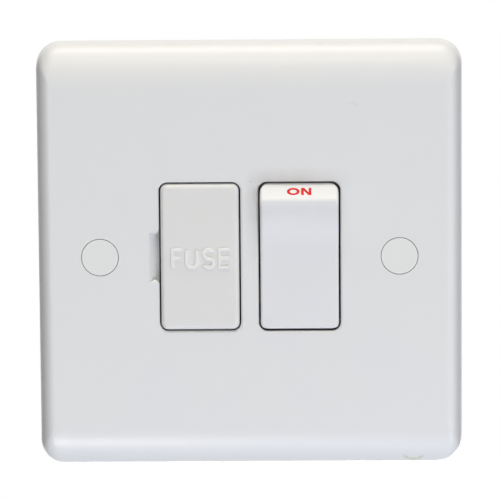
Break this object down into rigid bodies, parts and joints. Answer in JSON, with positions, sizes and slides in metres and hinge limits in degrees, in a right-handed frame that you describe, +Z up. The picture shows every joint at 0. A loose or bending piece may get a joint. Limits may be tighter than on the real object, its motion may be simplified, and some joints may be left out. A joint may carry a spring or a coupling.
{
  "type": "fused spur unit",
  "caption": "White moulded wall plate with a fuse carrier beside a rocker switch, capped fixing screws and a dark rear housing with wire terminals.",
  "frame": {"origin": "middle of the plate in the plane of its rear rim, half way between the fixing screws", "axes": "+Y into the wall along the fixing screws, +Z up as mounted, +X to the right as seen from the front"},
  "size_m": [0.086, 0.0301, 0.086],
  "materials": {
    "plate_white": "satin",
    "rocker_white": "satin",
    "carrier_white": "satin",
    "cap_white": "satin",
    "housing_dark": "matte",
    "nylon": "satin",
    "spring_steel": "satin",
    "zinc_screw": "plated",
    "brass": "machined",
    "copper": "rolled",
    "silver_tip": "polished",
    "fuse_ceramic": "matte",
    "fuse_metal": "plated"
  },
  "bodies": {
    "unit": {"front_plate": "plate_white", "rear_housing": "housing_dark", "screw_cap_left": "cap_white", "screw_cap_right": "cap_white", "fixing_screw_left": "zinc_screw", "fixing_screw_right": "zinc_screw", "housing_screw_upper_left": "zinc_screw", "housing_screw_upper_right": "zinc_screw", "housing_screw_lower_left": "zinc_screw", "housing_screw_lower_right": "zinc_screw", "live_fixed_tip": "silver_tip", "live_fixed_contact": "brass", "neutral_fixed_tip": "silver_tip", "neutral_fixed_contact": "brass", "live_common": "copper", "neutral_common": "brass", "fuse_clip_upper": "brass", "fuse_clip_lower": "brass", "load_live_terminal": "brass", "supply_live_terminal": "brass", "supply_neutral_terminal": "brass", "load_neutral_terminal": "brass", "earth_terminal": "brass"},
    "rocker": {"rocker": "rocker_white", "live_spring": "spring_steel", "neutral_spring": "spring_steel"},
    "live_plunger": {"live_plunger": "nylon"},
    "live_contact": {"live_moving_contact": "copper", "live_moving_tip": "silver_tip"},
    "neutral_plunger": {"neutral_plunger": "nylon"},
    "neutral_contact": {"neutral_moving_contact": "copper", "neutral_moving_tip": "silver_tip"},
    "fuse_carrier": {"fuse_carrier": "carrier_white", "fuse_tube": "fuse_ceramic", "fuse_cap_upper": "fuse_metal", "fuse_cap_lower": "fuse_metal"},
    "load_live_screw": {"load_live_screw": "zinc_screw"},
    "supply_live_screw": {"supply_live_screw": "zinc_screw"},
    "supply_neutral_screw": {"supply_neutral_screw": "zinc_screw"},
    "load_neutral_screw": {"load_neutral_screw": "zinc_screw"},
    "earth_left_screw": {"earth_left_screw": "zinc_screw"},
    "earth_right_screw": {"earth_right_screw": "zinc_screw"}
  },
  "joints": [
    {"name": "rocker_tilt", "type": "hinge", "parent": "unit", "child": "rocker", "pos_m": [0.01002, -0.0065, 0], "axis": [-1, 0, 0], "range_deg": [0, 17]},
    {"name": "live_contact_tilt", "type": "hinge", "parent": "unit", "child": "live_contact", "pos_m": [0.00562, 0.0081, 0], "axis": [1, 0, 0], "range_deg": [0, 20]},
    {"name": "neutral_contact_tilt", "type": "hinge", "parent": "unit", "child": "neutral_contact", "pos_m": [0.01442, 0.0081, 0], "axis": [1, 0, 0], "range_deg": [0, 20]},
    {"name": "live_plunger_slide", "type": "slide", "parent": "rocker", "child": "live_plunger", "axis": [0, -0.989, -0.1478], "range_m": [0, 0.0012], "stiffness_N_per_m": 400, "springref_m": -0.001, "deforming": ["live_spring"]},
    {"name": "neutral_plunger_slide", "type": "slide", "parent": "rocker", "child": "neutral_plunger", "axis": [0, -0.989, -0.1478], "range_m": [0, 0.0012], "stiffness_N_per_m": 400, "springref_m": -0.001, "deforming": ["neutral_spring"]},
    {"name": "fuse_carrier_slide", "type": "slide", "parent": "unit", "child": "fuse_carrier", "axis": [0, -1, 0], "range_m": [0, 0.016]},
    {"name": "load_live_screw_travel", "type": "slide", "parent": "unit", "child": "load_live_screw", "axis": [0, -1, 0], "range_m": [0, 0.0036]},
    {"name": "supply_live_screw_travel", "type": "slide", "parent": "unit", "child": "supply_live_screw", "axis": [0, -1, 0], "range_m": [0, 0.0036]},
    {"name": "supply_neutral_screw_travel", "type": "slide", "parent": "unit", "child": "supply_neutral_screw", "axis": [0, -1, 0], "range_m": [0, 0.0036]},
    {"name": "load_neutral_screw_travel", "type": "slide", "parent": "unit", "child": "load_neutral_screw", "axis": [0, -1, 0], "range_m": [0, 0.0036]},
    {"name": "earth_left_screw_travel", "type": "slide", "parent": "unit", "child": "earth_left_screw", "axis": [0, -1, 0], "range_m": [0, 0.0036]},
    {"name": "earth_right_screw_travel", "type": "slide", "parent": "unit", "child": "earth_right_screw", "axis": [0, -1, 0], "range_m": [0, 0.0036]}
  ],
  "couplings": [
    {"joint": "live_contact_tilt", "follows": "rocker_tilt", "ratio": 1.1764},
    {"joint": "neutral_contact_tilt", "follows": "rocker_tilt", "ratio": 1.1764}
  ]
}
